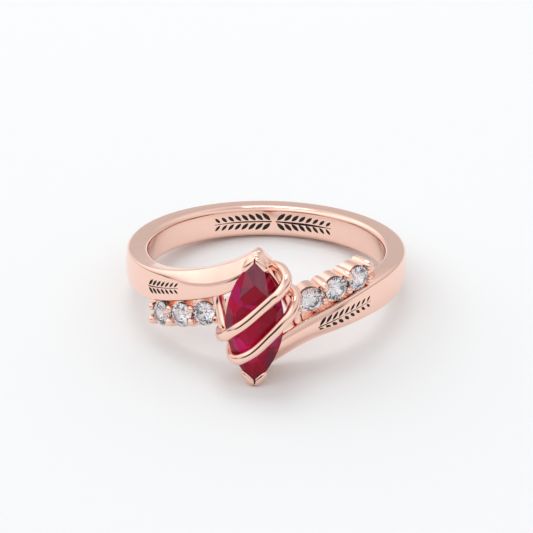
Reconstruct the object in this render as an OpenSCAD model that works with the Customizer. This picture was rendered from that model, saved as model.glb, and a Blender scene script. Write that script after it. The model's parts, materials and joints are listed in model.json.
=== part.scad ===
// Bypass class ring, lying on its side as it rests on a table, in millimetres.
// The ring is worked out upright round its own axis, with the head towards -Y, the finger
// hole along Z and its middle at the centre of the band. as_it_lies() then leans it back
// until the lower prong and the back of the band both touch the table at Z = 0.

/* [Finger] */
// Inner diameter of the band, 17.3 mm for ring size 7
finger_d = 17.3; // [15:0.1:20]

/* [Band] */
// Width of the band along the finger
band_w = 2.44; // [2:0.02:3]
// Thickness of the band at the middle of its face
band_t = 1.68; // [1.4:0.02:2.1]
// How far the middle of the outer face stands proud of its edges
band_crown = 0.08; // [0.05:0.01:0.4]
// Rounding of the band's outer edges
edge_round = 0.3; // [0.1:0.02:0.45]
// Rounding of the band's inner edges, a comfort fit
comfort_round = 0.42; // [0.2:0.02:0.6]

/* [Bypass arms] */
// Length along the band from the middle of the head to where the arm begins to narrow
shoulder_len = 16.2; // [14:0.2:18]
// How far the arm's far edge climbs along the finger beyond the band's edge
arm_rise = 3.2; // [2.8:0.05:3.6]
// How far the arm's near edge climbs, which lets the stone row in beside it
arm_sweep = 4.6; // [4.2:0.05:5]
// How much farther out the arm's face stands at the head than on the band
arm_swell = 0.75; // [0.4:0.05:1]
// How far the inside of the arm lifts off the finger at the head
arm_lift = 0.9; // [0.6:0.05:1.2]
// Extra rounding of the arm's far edge at the head
arm_roll = 0.5; // [0.1:0.05:0.6]

/* [Marquise stone] */
// Length of the marquise, along the finger
marquise_l = 9.2; // [8.4:0.05:9.6]
// Width of the marquise
marquise_w = 4.05; // [3.6:0.05:4.4]
// Height of its girdle above the inside of the band
marquise_rise = 3.45; // [3.2:0.05:3.8]
// Height of its crown above the girdle
marquise_crown_h = 0.55; // [0.4:0.05:0.7]
// Depth of its pavilion under the girdle
marquise_depth = 1.75; // [1.4:0.05:2]
// Thickness of its girdle
marquise_girdle = 0.12; // [0.06:0.02:0.2]

/* [Side stones] */
// Diameter of each round side stone
side_d = 1.75; // [1.5:0.05:1.9]
// Height of their girdles above the inside of the band
side_rise = 1.4; // [1.2:0.05:1.6]
// Distance along the band from the middle of the head to the first side stone
side_first = 3.98; // [3.8:0.02:4.2]
// Distance from one side stone to the next
side_pitch = 2; // [1.9:0.02:2.1]
// Offset of the first side stone along the finger
row_start = 0.67; // [0.5:0.02:0.8]
// How much farther along the finger the last side stone lies
row_climb = 0.93; // [0.8:0.02:1.1]

/* [Settings] */
// Gap between a stone and the metal that holds it
stone_gap = 0.04; // [0.02:0.01:0.06]
// Wall of the cup round a side stone
cup_wall = 0.12; // [0.08:0.01:0.16]
// Diameter of the open hole behind a side stone
cup_hole_d = 0.9; // [0.6:0.05:1.1]
// How far the side settings stand off the finger
row_lift = 0.12; // [0.08:0.02:0.2]
// Thickness of an outer claw at its foot
claw_d = 0.9; // [0.7:0.02:1]
// Diameter of a bead that holds a side stone
bead_d = 0.56; // [0.46:0.02:0.64]
// How far the tip of a claw or bead stands above the side stones' girdle
bead_rise = 0.42; // [0.3:0.02:0.5]
// Width of a marquise prong
prong_w = 1.8; // [1.6:0.05:2.1]
// Wall of the prong behind the marquise's tip
prong_wall = 0.3; // [0.24:0.02:0.4]
// How far the prong folds over the marquise's tip
prong_grip = 0.32; // [0.2:0.02:0.4]
// Height of the prong above the girdle
prong_cap = 0.3; // [0.22:0.02:0.38]
// Length of the crease that parts the prong's cap into two lobes
crease_l = 0.42; // [0.2:0.02:0.5]
// Width of the crease where it meets the stone's tip
crease_w = 0.22; // [0.1:0.02:0.3]
// Diameter of the two wires that cross over the marquise
wire_d = 0.78; // [0.66:0.02:0.9]
// Space between the wires' undersides and the marquise's table
wire_clear = 0.06; // [0.04:0.01:0.12]
// Thickness of the bars that join the two arms beside the marquise
bar_d = 0.85; // [0.7:0.05:0.95]

/* [Hidden] */
$fn = 48;

side_stones = 3;                            // in each row
bore_cut = 0.2;                             // how deep the bore is cut into the swept band
finger_r = finger_d / 2;
band_r = finger_r + band_t;
girdle_r = finger_r + marquise_rise;
table_r = girdle_r + marquise_girdle / 2 + marquise_crown_h;
side_r = finger_r + side_rise;
head_half = marquise_l / 2 + prong_wall;    // from the middle of the head to a prong's end
wire_r = table_r + wire_clear + wire_d / 2; // middle of the wires where they cross the table
rose_gold = "#e6b8a2";

// Arm by its distance from the middle of the head along the band, as a share of
// shoulder_len. climb is a share of arm_rise, sweep of arm_sweep, swell of arm_swell,
// lift of arm_lift and roll of arm_roll.
CLIMB = 1;
SWEEP = 2;
SWELL = 3;
LIFT = 4;
ROLL = 5;
//           place   climb  sweep  swell  lift   roll
arm_rows = [[-0.073, 0.82,  1.00,  0.30,  1.00,  0.2],
            [-0.044, 0.90,  0.97,  0.70,  0.95,  0.5],
            [-0.022, 1.01,  0.94,  0.90,  0.90,  0.7],
            [0.000,  1.04,  0.90,  1.00,  0.85,  0.8],
            [0.056,  0.87,  0.73,  1.00,  0.65,  1.0],
            [0.111,  0.71,  0.58,  0.85,  0.42,  1.0],
            [0.189,  0.54,  0.45,  0.50,  0.12,  0.9],
            [0.278,  0.385, 0.335, 0.20,  0.00,  0.7],
            [0.389,  0.255, 0.22,  0.06,  0.00,  0.4],
            [0.478,  0.17,  0.135, 0.00,  0.00,  0.2],
            [0.556,  0.11,  0.075, 0.00,  0.00,  0.1],
            [0.633,  0.065, 0.04,  0.00,  0.00,  0.0],
            [0.780,  0.02,  0.01,  0.00,  0.00,  0.0],
            [1.000,  0.00,  0.00,  0.00,  0.00,  0.0]];
arm_steps = 25;
back_steps = 15;

// Outer claw of a side stone from foot to tip. out is its distance from the row's line as
// a share of the cup's radius, up its height as a share of the way from the finger to the
// claw's top, and thick its thickness as a share of claw_d.
//           out   up    thick
claw_rows = [[0.50, 0.05, 1.00],
             [0.52, 0.40, 1.00],
             [0.52, 0.66, 0.92],
             [0.49, 0.82, 0.78],
             [0.46, 0.93, 0.58],
             [0.44, 1.00, 0.24]];

// Prong of the marquise from the arm up to its cap. up is a share of the way from the
// arm's inside to the cap's top, wide a share of prong_w, reach a share of head_half and
// inner the share of head_half at which its inner face starts.
//            up    wide  reach inner
prong_rows = [[0.00, 0.60, 0.83, 0.62],
              [0.40, 0.72, 0.90, 0.65],
              [0.72, 0.90, 0.97, 0.68],
              [0.90, 1.00, 1.00, 0.69],
              [0.97, 0.98, 0.99, 0.70],
              [1.00, 0.86, 0.955, 0.73]];

// Bar from the left arm round the left side of the marquise to the right arm's tip. across
// is a share of marquise_w, along a share of head_half and up a share of marquise_rise.
//          across  along  up
bar_rows = [[-0.70,  0.24,  0.26],
            [-0.665, 0.08,  0.30],
            [-0.60,  -0.08, 0.42],
            [-0.545, -0.22, 0.55],
            [-0.46,  -0.36, 0.58],
            [-0.33,  -0.51, 0.52],
            [-0.14,  -0.67, 0.42]];

// Wires from the right end over the stone to the left end. across is a share of
// marquise_w, along a share of marquise_l, and up a share of the way from the inside of
// the band to the middle of the wire over the table.
//              across  along   up
upper_wire = [[0.28,  0.363,  0.27],
              [0.44,  0.386,  0.55],
              [0.54,  0.355,  0.85],
              [0.43,  0.275,  0.99],
              [0.29,  0.213,  1.00],
              [0.07,  0.116,  1.00],
              [-0.15, 0.023,  1.00],
              [-0.33, -0.043, 0.97],
              [-0.49, -0.112, 0.84],
              [-0.60, -0.158, 0.60],
              [-0.62, -0.168, 0.30]];
lower_wire = [[0.50,  0.235,  0.42],
              [0.67,  0.200,  0.65],
              [0.68,  0.165,  0.83],
              [0.62,  0.101,  0.94],
              [0.52,  0.046,  0.98],
              [0.36,  -0.038, 1.00],
              [0.19,  -0.123, 1.00],
              [0.02,  -0.199, 1.00],
              [-0.15, -0.252, 0.99],
              [-0.27, -0.284, 0.93],
              [-0.37, -0.293, 0.79],
              [-0.42, -0.286, 0.54],
              [-0.43, -0.280, 0.27]];

// Facets of a cut stone. turn is the share of the way from the belly to the tip on the
// marquise, or the turn in degrees on a round stone. The plane of a facet goes through two
// points: reach and height, as shares of the girdle's distance and of the crown's height.
marquise_turns = [-1, -0.75, -0.5, -0.25, 0, 0.25, 0.5, 0.75, 1];
//              turn   reach height reach height
crown_facets = [[0.00, 1.00, 0.00, 0.74, 1.00],
                [0.50, 1.00, 0.00, 0.72, 1.00],
                [1.00, 1.00, 0.00, 0.86, 1.00],
                [1.12, 0.97, 0.20, 0.72, 1.00]];
side_table = 0.55;          // table of a side stone as a share of its diameter
side_crown = 0.15;          // height of a side stone's crown as a share of its diameter
side_pavilion = 0.43;       // depth of its pavilion as a share of its diameter
side_girdle = 0.04;         // thickness of its girdle as a share of its diameter

// A table read along a smooth curve through its rows
function row_before(rows, key) =
    max([for (i = [0 : len(rows) - 2]) if (i == 0 || rows[i][0] <= key) i]);
function row_slope(rows, i, column) =
    let (a = max(i - 1, 0), b = min(i + 1, len(rows) - 1))
    (rows[b][column] - rows[a][column]) / (rows[b][0] - rows[a][0]);
function blend(p, q, m, n, t) =
    p * (2 * t ^ 3 - 3 * t ^ 2 + 1) + m * (t ^ 3 - 2 * t ^ 2 + t)
    + q * (3 * t ^ 2 - 2 * t ^ 3) + n * (t ^ 3 - t ^ 2);
function read_row(rows, key, column) =
    let (i = row_before(rows, key), step = rows[i + 1][0] - rows[i][0],
         t = min(max((key - rows[i][0]) / step, 0), 1))
    blend(rows[i][column], rows[i + 1][column], row_slope(rows, i, column) * step,
          row_slope(rows, i + 1, column) * step, t);

// A smooth path through points, with some steps between each two
function path_slope(points, i) =
    (points[min(i + 1, len(points) - 1)] - points[max(i - 1, 0)]) / 2;
function smooth_path(points, steps) =
    [for (i = [0 : len(points) - 2], k = [0 : i == len(points) - 2 ? steps : steps - 1])
        blend(points[i], points[i + 1], path_slope(points, i), path_slope(points, i + 1), k / steps)];

function unit(v) = v / norm(v);

// Closed surface through rings of equally many points, which turn right-handed round the
// way from the first ring to the last
module skin(rings) {
    n = len(rings[0]);
    last = len(rings) - 1;
    points = [for (ring = rings, p = ring) p];
    sides = [for (i = [0 : last - 1], j = [0 : n - 1], upper = [0, 1])
        let (a = i * n + j, b = i * n + (j + 1) % n)
        upper == 0 ? [a, b + n, b] : [a, a + n, b + n]];
    ends = [[for (j = [0 : n - 1]) j], [for (j = [n - 1 : -1 : 0]) last * n + j]];
    polyhedron(points, concat(sides, ends), convexity = 10);
}

// Round bar along a path, with its thickness at each point. face is a direction that the
// path never takes.
module round_bar(path, thick, face, sides = 8) {
    last = len(path) - 1;
    skin([for (i = [0 : last])
        let (along = unit(path[min(i + 1, last)] - path[max(i - 1, 0)]),
             u = unit(cross(along, face)), v = cross(along, u))
        [for (k = [0 : sides - 1])
            path[i] + thick[i] / 2 * (u * cos(360 * k / sides) + v * sin(360 * k / sides))]]);
}

// Places on the ring: across to the right, along the finger, and out from the ring's axis
function around(distance) = distance / band_r * 180 / PI;
function on_ring(angle, along, out) = [out * sin(angle), -out * cos(angle), along];
function on_head(across, along, out) = [across, -out, along];

module at_ring(angle, along, out) {
    rotate([0, 0, angle]) translate([0, -out, along]) rotate([90, 0, 0]) children();
}

// The ring is the same again when it is turned half round its head
module turned_over() {
    rotate([0, 180, 0]) children();
}

module both_ways() {
    children();
    turned_over() children();
}

// Band and arms
function arc_points(centre, radius, from, to, steps) =
    [for (i = [0 : steps]) let (a = from + (to - from) * i / steps)
        centre + radius * [cos(a), sin(a)]];

// Section of the band as [out, along] points, from its top outer edge round to its bottom one
function band_section(low, high, inner, outer, top_round, low_round) =
    let (half = (high - low) / 2, middle = (high + low) / 2,
         crown = min(band_crown, half / 2), edge = outer - crown,
         wall = inner - bore_cut, ease = 20,
         top = min(top_round, half * 0.75), bottom = min(low_round, half * 0.75),
         inside = min(comfort_round, half * 0.6))
    concat([for (t = [-0.5, 0, 0.5]) [edge + crown * (1 - t * t),
                middle + t * (half - max(top, bottom))]],
           arc_points([edge - top, high - top], top, 0, 90, 3),
           arc_points([inner + inside, high - inside], inside, 90, 180 - ease, 2),
           [[wall, high - inside * 1.3], [wall, low + inside * 1.3]],
           arc_points([inner + inside, low + inside], inside, 180 + ease, 270, 2),
           arc_points([edge - bottom, low + bottom], bottom, 270, 360, 3));

function arm_value(place, column) = read_row(arm_rows, min(place, 1), column);
function arm_far(place) = band_w / 2 + arm_rise * arm_value(place, CLIMB);
function arm_near(place) = -band_w / 2 + arm_sweep * arm_value(place, SWEEP);
function arm_outer(place) = band_r + arm_swell * arm_value(place, SWELL);
function arm_inner(place) = finger_r + arm_lift * arm_value(place, LIFT);
function arm_round(place) = edge_round + arm_roll * arm_value(place, ROLL);

function left_ring(place) =
    [for (p = band_section(arm_near(place), arm_far(place), arm_inner(place),
                           arm_outer(place), arm_round(place), edge_round))
        on_ring(-around(place * shoulder_len), p[1], p[0])];
function right_ring(place) =
    [for (p = band_section(-arm_far(place), -arm_near(place), arm_inner(place),
                           arm_outer(place), edge_round, arm_round(place)))
        on_ring(around(place * shoulder_len), p[1], p[0])];

module band_and_arms() {
    first = arm_rows[0][0];
    half_turn = PI * band_r / shoulder_len;
    arm_places = [for (i = [0 : arm_steps]) let (t = i / arm_steps)
        first + (1 - first) * (0.35 * t + 0.65 * t * t)];
    back_places = [for (i = [1 : back_steps]) 1 + (half_turn - 1) * i / back_steps];
    places = concat(arm_places, back_places);
    difference() {
        skin(concat([for (p = places) left_ring(p)],
                    [for (i = [len(places) - 2 : -1 : 0]) right_ring(places[i])]));
        translate([0, 0, -head_half]) cylinder(h = 2 * head_half, r = finger_r);
    }
}

// Row of side stones
function stone_place(i) = side_first + i * side_pitch;
function row_line(place) =
    let (t = (place - side_first) / ((side_stones - 1) * side_pitch))
    row_start + row_climb * t * (1.2 - 0.2 * t);
cup_r = side_d / 2 + stone_gap + cup_wall;
claw_top = side_rise + bead_rise;

module side_cups() {
    for (i = [0 : side_stones - 1])
        at_ring(around(stone_place(i)), row_line(stone_place(i)), finger_r + row_lift)
            cylinder(h = side_rise - row_lift, r = cup_r);
}

module outer_claw(place) {
    points = [for (row = claw_rows)
        on_ring(around(place), row_line(place) + row[0] * cup_r, finger_r + row[1] * claw_top)];
    round_bar(smooth_path(points, 2),
              [for (i = [0 : 2 * (len(claw_rows) - 1)])
                  let (k = i / 2, a = claw_rows[floor(k)][2], b = claw_rows[ceil(k)][2])
                  claw_d * (a + b) / 2],
              [cos(around(place)), sin(around(place)), 0], 10);
}

module inner_bead(place) {
    at_ring(around(place), row_line(place) - 0.44 * cup_r, finger_r) {
        translate([0, 0, 2 * row_lift])
            cylinder(h = claw_top - 2 * row_lift - bead_d / 2, d = bead_d * 0.94);
        translate([0, 0, claw_top - bead_d / 2]) sphere(d = bead_d);
    }
}

// Rail under the stones, from the bar beside the head to inside the band
module row_rail() {
    start = side_first - 0.75 * side_pitch;
    end = side_first + (side_stones + 0.35) * side_pitch;
    steps = 12;
    half = 0.62 * cup_r;
    under = 0.5 * row_lift;
    skin([for (i = [0 : steps])
        let (place = start + (end - start) * i / steps,
             past = max(0, place - stone_place(side_stones - 1) - side_pitch / 2),
             line = row_line(place) - 0.55 * past * past)
        [for (p = [[side_rise * 0.62, -half * 0.8], [side_rise * 0.5, -half], [under, -half],
                   [under, half], [side_rise * 0.5, half], [side_rise * 0.62, half * 0.8]])
            on_ring(around(place), line + p[1], finger_r + p[0])]]);
}

module side_setting() {
    row_rail();
    side_cups();
    for (i = [0 : side_stones]) {
        outer_claw(stone_place(i) - side_pitch / 2);
        inner_bead(stone_place(i) - side_pitch / 2);
    }
}

// Head of the ring
prong_foot_r = finger_r + arm_lift;
prong_top_r = girdle_r + marquise_girdle / 2 + prong_cap;

function prong_outline(wide, reach, inner) =
    let (half = wide / 2, shoulder = reach - half * 1.24)
    concat([for (a = [0 : 15 : 180]) [half * cos(a), shoulder + (reach - shoulder) * sin(a)]],
           [[-half, inner], [half, inner]]);

module marquise_prong() {
    skin([for (row = prong_rows)
        [for (p = prong_outline(row[1] * prong_w, row[2] * head_half, row[3] * head_half))
            on_head(p[0], p[1], prong_foot_r + row[0] * (prong_top_r - prong_foot_r))]]);
}

// Wedge cut from the prong's cap, so that only its two lobes fold over the stone. It is
// a little wider than the prong, which keeps it clear of the wires.
module prong_mouth() {
    tip = marquise_l / 2 - prong_grip;
    wide = 0.65 * prong_w;
    back = tip - wide / tan(90 - marquise_tip_angle);
    translate([0, -girdle_r, 0]) rotate([90, 0, 0])
        linear_extrude(height = 2 * prong_cap + marquise_girdle)
            polygon([[0, tip + crease_l], [crease_w / 2, tip - crease_w / 2], [wide, back],
                     [-wide, back], [-crease_w / 2, tip - crease_w / 2]]);
}

module head_bar() {
    points = [for (row = bar_rows)
        on_head(row[0] * marquise_w, row[1] * head_half, finger_r + row[2] * marquise_rise)];
    path = smooth_path(points, 2);
    round_bar(path, [for (p = path) bar_d], [0, 1, 0], 8);
}

module crossing_wire(rows) {
    points = [for (row = rows)
        on_head(row[0] * marquise_w, row[1] * marquise_l,
                finger_r + row[2] * (wire_r - finger_r))];
    path = smooth_path(points, 3);
    round_bar(path, [for (p = path) wire_d], [0.6, 0, -0.8], 8);
}

// Cut stones, lying on their girdle with the table upwards. A facet is a plane that leaves
// out everything beyond it, and grow moves every plane outwards.
module beyond_plane(turn, slope, reach, height, grow) {
    size = 40;
    rotate([0, 0, turn]) translate([reach, 0, height]) rotate([0, slope, 0])
        translate([-size / 2, -size / 2, grow]) cube(size);
}

marquise_arc_r = (marquise_l ^ 2 + marquise_w ^ 2) / 4 / marquise_w;
marquise_tip_angle = asin(marquise_l / 2 / marquise_arc_r);
function marquise_reach(turn) = marquise_arc_r - (marquise_arc_r - marquise_w / 2) * cos(turn);

module marquise_body(grow) {
    top = marquise_girdle / 2;
    hull() difference() {
        translate([-marquise_w, -marquise_l, -marquise_depth - top - 2 * grow])
            cube([2 * marquise_w, 2 * marquise_l,
                  marquise_depth + 2 * top + marquise_crown_h + 3 * grow]);
        for (side = [0, 180], share = marquise_turns) {
            turn = share * marquise_tip_angle;
            reach = marquise_reach(turn);
            beyond_plane(side + turn, 90, reach, 0, grow);
            beyond_plane(side + turn, 180 - atan(marquise_depth / reach), reach, -top, grow);
        }
        for (side = [0, 180], flip = [-1, 1], row = crown_facets) {
            turn = flip * row[0] * marquise_tip_angle;
            reach = marquise_reach(turn);
            rise = (row[4] - row[2]) * marquise_crown_h;
            run = (row[1] - row[3]) * reach;
            beyond_plane(side + turn, atan(rise / run), reach * row[1],
                         top + row[2] * marquise_crown_h, grow);
        }
    }
}

module round_body() {
    top = side_girdle * side_d / 2;
    crown = side_crown * side_d;
    depth = side_pavilion * side_d;
    reach = side_d / 2;
    crown_slope = atan(crown / (reach * (1 - side_table)));
    hull() difference() {
        translate([-side_d, -side_d, -depth - top])
            cube([2 * side_d, 2 * side_d, depth + 2 * top + crown]);
        for (turn = [0 : 22.5 : 359]) beyond_plane(turn, 90, reach, 0, 0);
        for (turn = [0 : 45 : 359]) {
            beyond_plane(turn, crown_slope, reach, top, 0);
            beyond_plane(turn, 180 - atan(depth / reach), reach, -top, 0);
            beyond_plane(turn + 22.5, crown_slope * 0.62, reach * side_table, top + crown, 0);
        }
    }
}

// Room for a side stone in its cup, with the gap all round and the hole behind it
module side_seat() {
    girdle = side_d / 2 / cos(11.25) + stone_gap;
    table = side_d / 2 * side_table / cos(22.5) + stone_gap;
    hole = cup_hole_d / 2;
    top = side_girdle * side_d / 2 + stone_gap;
    crown = top + side_crown * side_d;
    depth = side_pavilion * side_d * girdle / (side_d / 2);
    rotate_extrude() polygon([[0, -side_rise], [hole, -side_rise],
                              [hole, -top - depth * (1 - hole / girdle)], [girdle, -top],
                              [girdle, top], [table, crown], [0, crown]]);
}

// The mounting is cast in one piece: band, arms, cups, claws, prongs, bars and wires
module mounting_upright() {
    difference() {
        union() {
            band_and_arms();
            both_ways() {
                side_setting();
                marquise_prong();
                head_bar();
            }
            crossing_wire(upper_wire);
            crossing_wire(lower_wire);
        }
        both_ways() {
            prong_mouth();
            for (i = [0 : side_stones - 1])
                at_ring(around(stone_place(i)), row_line(stone_place(i)), side_r) side_seat();
        }
        at_ring(0, 0, girdle_r) marquise_body(stone_gap);
    }
}

// Lying on the table: the lean that lets the head and the back of the band both touch it.
// The head touches with the lower prong or with the rounded edge of the arm behind it.
function lean_on(touch, round) =
    let (line = back_touch - touch)
    atan(line[1] / line[0]) - asin((edge_round - round) / norm(line));
back_touch = [band_r - band_crown - edge_round, -band_w / 2 + edge_round];
prong_touch = [-(prong_top_r - 0.1 * (prong_top_r - prong_foot_r)), -head_half];
arm_touch = [-(arm_inner(0) + comfort_round), comfort_round - arm_far(0)];
lean = max(lean_on(prong_touch, 0), lean_on(arm_touch, comfort_round));
rest_height = -(back_touch[1] * cos(lean) - back_touch[0] * sin(lean)) + edge_round;
reach_back = band_r * cos(lean);
reach_front = (wire_r + wire_d / 2) * cos(lean) + 0.2 * marquise_l * sin(lean);

module as_it_lies() {
    translate([0, (reach_front - reach_back) / 2, rest_height]) rotate([-lean, 0, 0]) children();
}

module mounting() {
    color(rose_gold) as_it_lies() mounting_upright();
}

module marquise_stone() {
    color("#9b0f3c") as_it_lies() at_ring(0, 0, girdle_r) marquise_body(0);
}

module side_stone_right(i) {
    color("#eef0f6") as_it_lies()
        at_ring(around(stone_place(i)), row_line(stone_place(i)), side_r) round_body();
}

module side_stone_left(i) {
    color("#eef0f6") as_it_lies() turned_over()
        at_ring(around(stone_place(i)), row_line(stone_place(i)), side_r) round_body();
}

mounting();
marquise_stone();
side_stone_left(0);  // side_stone_left_1
side_stone_left(1);  // side_stone_left_2
side_stone_left(2);  // side_stone_left_3
side_stone_right(0);  // side_stone_right_1
side_stone_right(1);  // side_stone_right_2
side_stone_right(2);  // side_stone_right_3
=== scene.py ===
import json
import math

import bmesh
import bpy
from mathutils import Matrix, Vector

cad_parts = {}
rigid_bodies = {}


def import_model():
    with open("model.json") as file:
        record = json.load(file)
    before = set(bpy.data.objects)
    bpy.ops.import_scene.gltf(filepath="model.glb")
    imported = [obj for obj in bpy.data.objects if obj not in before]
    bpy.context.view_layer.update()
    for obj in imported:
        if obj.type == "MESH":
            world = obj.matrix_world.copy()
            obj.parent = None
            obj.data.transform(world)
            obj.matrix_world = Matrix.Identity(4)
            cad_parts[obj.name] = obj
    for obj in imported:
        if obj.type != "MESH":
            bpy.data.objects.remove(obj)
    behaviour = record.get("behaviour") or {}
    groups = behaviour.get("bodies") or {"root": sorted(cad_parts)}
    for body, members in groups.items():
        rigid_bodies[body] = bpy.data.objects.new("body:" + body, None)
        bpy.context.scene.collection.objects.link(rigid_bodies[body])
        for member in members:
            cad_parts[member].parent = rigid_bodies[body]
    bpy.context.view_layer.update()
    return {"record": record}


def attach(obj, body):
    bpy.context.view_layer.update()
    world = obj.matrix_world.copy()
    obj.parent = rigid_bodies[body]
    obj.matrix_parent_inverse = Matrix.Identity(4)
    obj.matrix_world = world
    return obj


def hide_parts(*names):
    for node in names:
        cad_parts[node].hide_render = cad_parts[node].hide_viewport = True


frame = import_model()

# Camera. It stands where the photograph was taken from, about 30 degrees above the table and
# 20 above the ring, which leans on its head. In the ring's own frame the finger hole is along
# Z and the head towards -Y. All the pieces are made in that frame, in millimetres.
MM = 0.001
finger_bore = next(m for m in frame["record"]["mounts"] if m["name"] == "finger_bore")
ring_axis = Vector(finger_bore["axis"]).normalized()
across_head = Vector((1, 0, 0))
ring_frame = Matrix((across_head, ring_axis.cross(across_head), ring_axis)).transposed().to_4x4()
ring_frame.translation = Vector(finger_bore["pos_m"])

photo_px = 533
ring_at_px = (266.3, 260.8)
px_per_mm = 13.573
camera_away = 200
camera_above = math.radians(20.33)
camera_turn = math.radians(3.54)
camera_roll = math.radians(0.64)
sensor = 36
nearest = 10

turned = ring_frame.to_3x3() @ Matrix.Rotation(camera_turn, 3, "Z")
look = turned @ Vector((0, math.cos(camera_above), -math.sin(camera_above)))
level = turned @ Vector((1, 0, 0))
right = math.cos(camera_roll) * level + math.sin(camera_roll) * level.cross(look)
top = right.cross(look)
stand = ring_frame.translation - camera_away * MM * look
aim = ring_frame.translation + MM / px_per_mm * (
    (photo_px / 2 - ring_at_px[0]) * right - (photo_px / 2 - ring_at_px[1]) * top)
back = (stand - aim).normalized()
side = top.cross(back).normalized()
camera = bpy.data.objects.new("camera", bpy.data.cameras.new("camera"))
camera.matrix_world = Matrix.Translation(stand) @ Matrix(
    (side, back.cross(side), back)).transposed().to_4x4()
camera.data.sensor_width = sensor
camera.data.lens = sensor * camera_away * px_per_mm / photo_px
camera.data.clip_start = nearest * MM
bpy.context.scene.collection.objects.link(camera)
bpy.context.scene.camera = camera


# Table. A sheet of white card, coated and pressed matt, laid flat under the ring. It shows an
# even pale tone without a shine, and takes the ring's soft shadow.
def linear(hex_colour):
    parts = [int(hex_colour[i:i + 2], 16) / 255 for i in (1, 3, 5)]
    return [c / 12.92 if c < 0.04045 else ((c + 0.055) / 1.055) ** 2.4 for c in parts] + [1]


def add_node(tree, kind, inputs=(), links=(), stops=(), **settings):
    node = tree.nodes.new(kind)
    for name, value in settings.items():
        setattr(node, name, value)
    for name, value in dict(inputs).items():
        node.inputs[name].default_value = value
    for name, socket in dict(links).items():
        tree.links.new(socket, node.inputs[name])
    if stops:
        elements = node.color_ramp.elements
        while len(elements) < len(stops):
            elements.new(0.5)
        for element, (at, colour) in zip(elements, stops):
            element.position = at
            element.color = linear(colour)
    return node


def new_material(name):
    material = bpy.data.materials.new(name)
    material.use_nodes = True
    return material, material.node_tree, material.node_tree.nodes["Principled BSDF"]


card_grain = 0.4
card_relief = 0.02
card, tree, shader = new_material("matt_card")
place = add_node(tree, "ShaderNodeTexCoord")
grain = add_node(tree, "ShaderNodeTexNoise", {"Scale": 1 / (card_grain * MM), "Detail": 2},
                 {"Vector": place.outputs["Object"]})
bump = add_node(tree, "ShaderNodeBump", {"Strength": 0.03, "Distance": card_relief * MM},
                {"Height": grain.outputs["Fac"]})
tree.links.new(bump.outputs["Normal"], shader.inputs["Normal"])
shader.inputs["Base Color"].default_value = linear("#f3f5f6")
shader.inputs["Roughness"].default_value = 0.9
shader.inputs["Specular IOR Level"].default_value = 0.1
table_half = 1200 * MM
mesh = bpy.data.meshes.new("table")
mesh.from_pydata([(-table_half, -table_half, 0), (table_half, -table_half, 0),
                  (table_half, table_half, 0), (-table_half, table_half, 0)], [], [(0, 1, 2, 3)])
mesh.materials.append(card)
table = bpy.data.objects.new("table", mesh)
bpy.context.scene.collection.objects.link(table)

# Light. A tent of white cloth, a soft grey near the table and brighter overhead, with a lit
# panel high on the left and a softbox behind. Open gaps just above the table, on the left, in
# front on the left and on the right, draw the dark lines that polished metal shows.
gap_dark = "#241f1e"
# the way to the middle of each gap, and the cosines off it between which it fades in
gap_sides = [((-0.94, 0.34, 0), 0.86, 0.94), ((-0.49, -0.87, 0), 0.86, 0.94),
             ((0.94, 0.34, 0), 0.55, 0.70)]
gap_tilt = 0.25
panel_way = (-0.97, -0.26, 0)
panel_fade = 0.35
panel_light = 1.6
tent_light = 0.94
world = bpy.data.worlds.new("light_tent")
bpy.context.scene.world = world
world.use_nodes = True
tree = world.node_tree
direction = add_node(tree, "ShaderNodeTexCoord")
toward = add_node(tree, "ShaderNodeSeparateXYZ", {}, {"Vector": direction.outputs["Generated"]})
tilted = add_node(tree, "ShaderNodeMath", {1: gap_tilt},
                  {0: toward.outputs["Y"], 2: toward.outputs["Z"]}, operation="MULTIPLY_ADD")
cloth = add_node(tree, "ShaderNodeValToRGB", {}, {"Fac": toward.outputs["Z"]},
                 [(0.00, "#e2e0e0"), (0.12, "#dcdada"), (0.25, "#d8d6d6"),
                  (0.50, "#f0f0f0"), (0.75, "#ffffff"), (1.00, "#c8c8c8")])
gap_top = add_node(tree, "ShaderNodeValToRGB", {}, {"Fac": tilted.outputs["Value"]},
                   [(0.12, "#ffffff"), (0.22, "#000000")])
gap_foot = add_node(tree, "ShaderNodeValToRGB", {}, {"Fac": toward.outputs["Z"]},
                    [(0.02, "#000000"), (0.05, "#ffffff")])
gap_height = add_node(tree, "ShaderNodeMath", {},
                      {0: gap_top.outputs["Color"], 1: gap_foot.outputs["Color"]},
                      operation="MULTIPLY")
gap_around = []
for way, least, most in gap_sides:
    nearness = add_node(tree, "ShaderNodeVectorMath", {1: way}, {0: direction.outputs["Generated"]},
                        operation="DOT_PRODUCT")
    fade = add_node(tree, "ShaderNodeMapRange", {"From Min": least, "From Max": most},
                    {"Value": nearness.outputs["Value"]}, interpolation_type="SMOOTHSTEP")
    gap_around.append(fade.outputs["Result"])
gap_left, gap_front, gap_right = gap_around
not_right = add_node(tree, "ShaderNodeMath", {}, {0: gap_left, 1: gap_front}, operation="MAXIMUM")
around_ring = add_node(tree, "ShaderNodeMath", {}, {0: not_right.outputs["Value"], 1: gap_right},
                       operation="MAXIMUM")
gap = add_node(tree, "ShaderNodeMath", {},
               {0: gap_height.outputs["Value"], 1: around_ring.outputs["Value"]},
               operation="MULTIPLY")
tent = add_node(tree, "ShaderNodeMix", {"B": linear(gap_dark)},
                {"Factor": gap.outputs["Value"], "A": cloth.outputs["Color"]}, data_type="RGBA")
panel_height = add_node(tree, "ShaderNodeValToRGB", {}, {"Fac": tilted.outputs["Value"]},
                        [(0.10, "#000000"), (0.30, "#808080"), (0.75, "#ffffff"), (0.97, "#000000")])
leftward = add_node(tree, "ShaderNodeVectorMath", {1: panel_way},
                    {0: direction.outputs["Generated"]}, operation="DOT_PRODUCT")
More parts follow.
